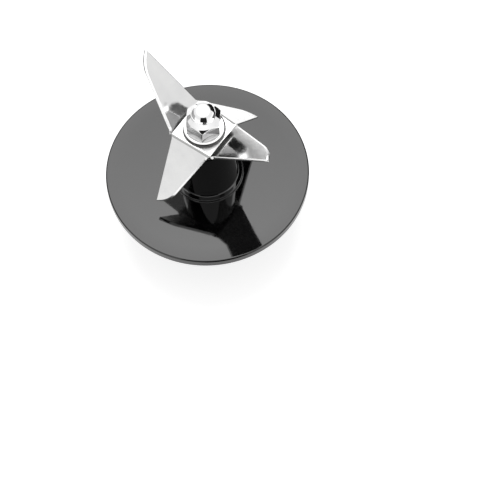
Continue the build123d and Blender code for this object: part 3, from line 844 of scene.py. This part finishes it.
floor.data.materials.append(paper)

# Cards: sheets out of the camera's sight, seen only in reflections, that draw the dark lines in bright metal.
# Black ones stand in front and lie there on the floor, a tall black one curves round the back on the right,
# a low grey one curves round the left, and a dark one lies on the floor at the right.
front_card_place, front_card_half, front_card_height = -0.105, 0.049, 0.116
front_card_left, front_card_foot = -0.012, 0.02
front_strip_near, front_strip_far = -0.062, -0.1
right_strip_low, right_strip_high = (0.062, -0.12), (0.2, 0.05)
strip_height = 0.001
round_card_radius = 0.107
round_card_points = 25
right_card_start, right_card_end, right_card_height = radians(12.0), radians(62.5), 0.112
left_card_start, left_card_end, left_card_height = radians(112.0), radians(199.0), 0.08


def card_finish(name, grey):
    """A dull card of one grey."""
    return new_finish(name, Base_Color=(grey, grey, grey, 1.0), Roughness=1.0)


def round_card(name, start, end, height):
    """An upright card bent to an arc about the shaft axis."""
    angles = np.linspace(start, end, round_card_points)
    foot = round_card_radius * np.stack([np.cos(angles), np.sin(angles), 0 * angles], axis=-1)
    return make_piece(name, [np.stack([foot, foot + (0.0, 0.0, height)])])


front_card = stage_sheet(
    "front_card",
    (front_card_left, front_card_place, 0.0),
    (front_card_half - front_card_left, 0.0, 0.0),
    (0.0, 0.0, front_card_height),
)
front_left_card = stage_sheet(
    "front_left_card",
    (-front_card_half, front_card_place, front_card_foot),
    (front_card_half + front_card_left, 0.0, 0.0),
    (0.0, 0.0, front_card_height - front_card_foot),
)
front_strip = stage_sheet(
    "front_strip",
    (front_card_left, front_strip_far, strip_height),
    (front_card_half - front_card_left, 0.0, 0.0),
    (0.0, front_strip_near - front_strip_far, 0.0),
)
right_strip = stage_sheet(
    "right_strip",
    (*right_strip_low, strip_height),
    (right_strip_high[0] - right_strip_low[0], 0.0, 0.0),
    (0.0, right_strip_high[1] - right_strip_low[1], 0.0),
)
right_card = round_card("right_card", right_card_start, right_card_end, right_card_height)
left_card = round_card("left_card", left_card_start, left_card_end, left_card_height)
card_black = card_finish("black_card", 0.004)
card_grey = card_finish("grey_card", 0.7)
card_dark = card_finish("dark_card", 0.1)
card_looks = [
    (front_card, card_black),
    (front_left_card, card_black),
    (front_strip, card_black),
    (right_card, card_black),
    (right_strip, card_dark),
    (left_card, card_grey),
]
for card, look in card_looks:
    card.data.materials.append(look)
    card.visible_camera = False
    card.visible_diffuse = False
    card.visible_shadow = False

# Light: one soft box above and behind, which the black disc mirrors as grey, a little dimmer at its far side,
# in pale surroundings that are white to the camera and to the metal.
camera_rise = radians(60.686)
box_distance = 0.62
box_half = 0.23
box_near_strength, box_far_strength = 4.7, 2.7
box_near, box_far = 0.2, 0.42
surroundings_light = 0.6
overhead_lift = 0.6
overhead_low, overhead_high = 0.28, 0.8
box_aim = np.array([0.0, cos(camera_rise), sin(camera_rise)])
box_slope = np.array([0.0, -sin(camera_rise), cos(camera_rise)])
box_middle = np.array([0.0, 0.0, disc_top]) + box_aim * box_distance
box_corner = box_middle - np.array([box_half, 0.0, 0.0]) - box_slope * box_half
soft_box = stage_sheet("soft_box", box_corner, (2 * box_half, 0.0, 0.0), 2 * box_half * box_slope)
box_light = bpy.data.materials.new("soft_box_light")
box_light.use_nodes = True
box_nodes, box_links = box_light.node_tree.nodes, box_light.node_tree.links
box_nodes.remove(box_nodes["Principled BSDF"])
box_glow = box_nodes.new("ShaderNodeEmission")
box_place = box_nodes.new("ShaderNodeTexCoord")
box_axes = box_nodes.new("ShaderNodeSeparateXYZ")
box_fade = box_nodes.new("ShaderNodeMapRange")
box_fade.inputs["From Min"].default_value = box_near
box_fade.inputs["From Max"].default_value = box_far
box_fade.inputs["To Min"].default_value = box_near_strength
box_fade.inputs["To Max"].default_value = box_far_strength
box_links.new(box_place.outputs["Object"], box_axes.inputs["Vector"])
box_links.new(box_axes.outputs["Y"], box_fade.inputs["Value"])
box_links.new(box_fade.outputs["Result"], box_glow.inputs["Strength"])
box_links.new(box_glow.outputs[0], box_nodes["Material Output"].inputs["Surface"])
soft_box.data.materials.append(box_light)
soft_box.visible_camera = False

world = bpy.data.worlds.new("pale_surroundings")
bpy.context.scene.world = world
world.use_nodes = True
world_nodes, world_links = world.node_tree.nodes, world.node_tree.links
sky_seen, sky_mirrored = rays_seen(world_nodes, world_links)
sky_strength = world_nodes.new("ShaderNodeMapRange")
sky_strength.inputs["To Min"].default_value = surroundings_light
sky_strength.inputs["To Max"].default_value = 1.0
sky_way = world_nodes.new("ShaderNodeTexCoord")
sky_axes = world_nodes.new("ShaderNodeSeparateXYZ")
overhead = world_nodes.new("ShaderNodeMapRange")
overhead.interpolation_type = "SMOOTHSTEP"
overhead.inputs["From Min"].default_value = overhead_low
overhead.inputs["From Max"].default_value = overhead_high
overhead.inputs["To Max"].default_value = overhead_lift
overhead_mirrored = world_nodes.new("ShaderNodeMath")
overhead_mirrored.operation = "MULTIPLY_ADD"
world_links.new(sky_way.outputs["Generated"], sky_axes.inputs["Vector"])
world_links.new(sky_axes.outputs["Z"], overhead.inputs["Value"])
world_links.new(sky_seen, sky_strength.inputs["Value"])
world_links.new(overhead.outputs["Result"], overhead_mirrored.inputs[0])
world_links.new(sky_mirrored, overhead_mirrored.inputs[1])
world_links.new(sky_strength.outputs["Result"], overhead_mirrored.inputs[2])
world_links.new(overhead_mirrored.outputs[0], world_nodes["Background"].inputs["Strength"])
world_nodes["Background"].inputs["Color"].default_value = (1.0, 1.0, 1.0, 1.0)

# Camera: a long lens that looks down on the disc, turned until the disc's middle falls where the photograph
# has it. That place is in picture points from the middle of a picture as wide as stated.
camera_lens = 144.0
camera_sensor = 36.0
camera_distance = 787.32 * mm
picture_width = 500.0
disc_place = (-42.61, -78.82)
camera_roll = radians(-4.297)
ahead = Vector((0.0, cos(camera_rise), -sin(camera_rise)))
downwards = Vector((0.0, -sin(camera_rise), -cos(camera_rise)))
level = Matrix((Vector((1.0, 0.0, 0.0)), downwards, ahead))
disc_sight = Vector((*disc_place, picture_width * camera_lens / camera_sensor))
disc_turn = Vector((0.0, 0.0, 1.0)).rotation_difference(disc_sight).to_matrix()
swing = disc_turn @ Matrix.Rotation(camera_roll, 3, "Z")
sight_axes = level.transposed() @ swing.transposed()
camera_turn = sight_axes @ Matrix.Diagonal((1.0, -1.0, -1.0))
camera_data = bpy.data.cameras.new("photo_camera")
camera_data.lens = camera_lens
camera_data.sensor_width = camera_sensor
camera_data.clip_start = 0.01
camera = bpy.data.objects.new("photo_camera", camera_data)
camera_spot = Vector((0.0, 0.0, disc_top)) - ahead * camera_distance
camera.matrix_world = Matrix.Translation(camera_spot) @ camera_turn.to_4x4()
bpy.context.scene.collection.objects.link(camera)
bpy.context.scene.camera = camera
bpy.context.scene.view_settings.view_transform = "Standard"
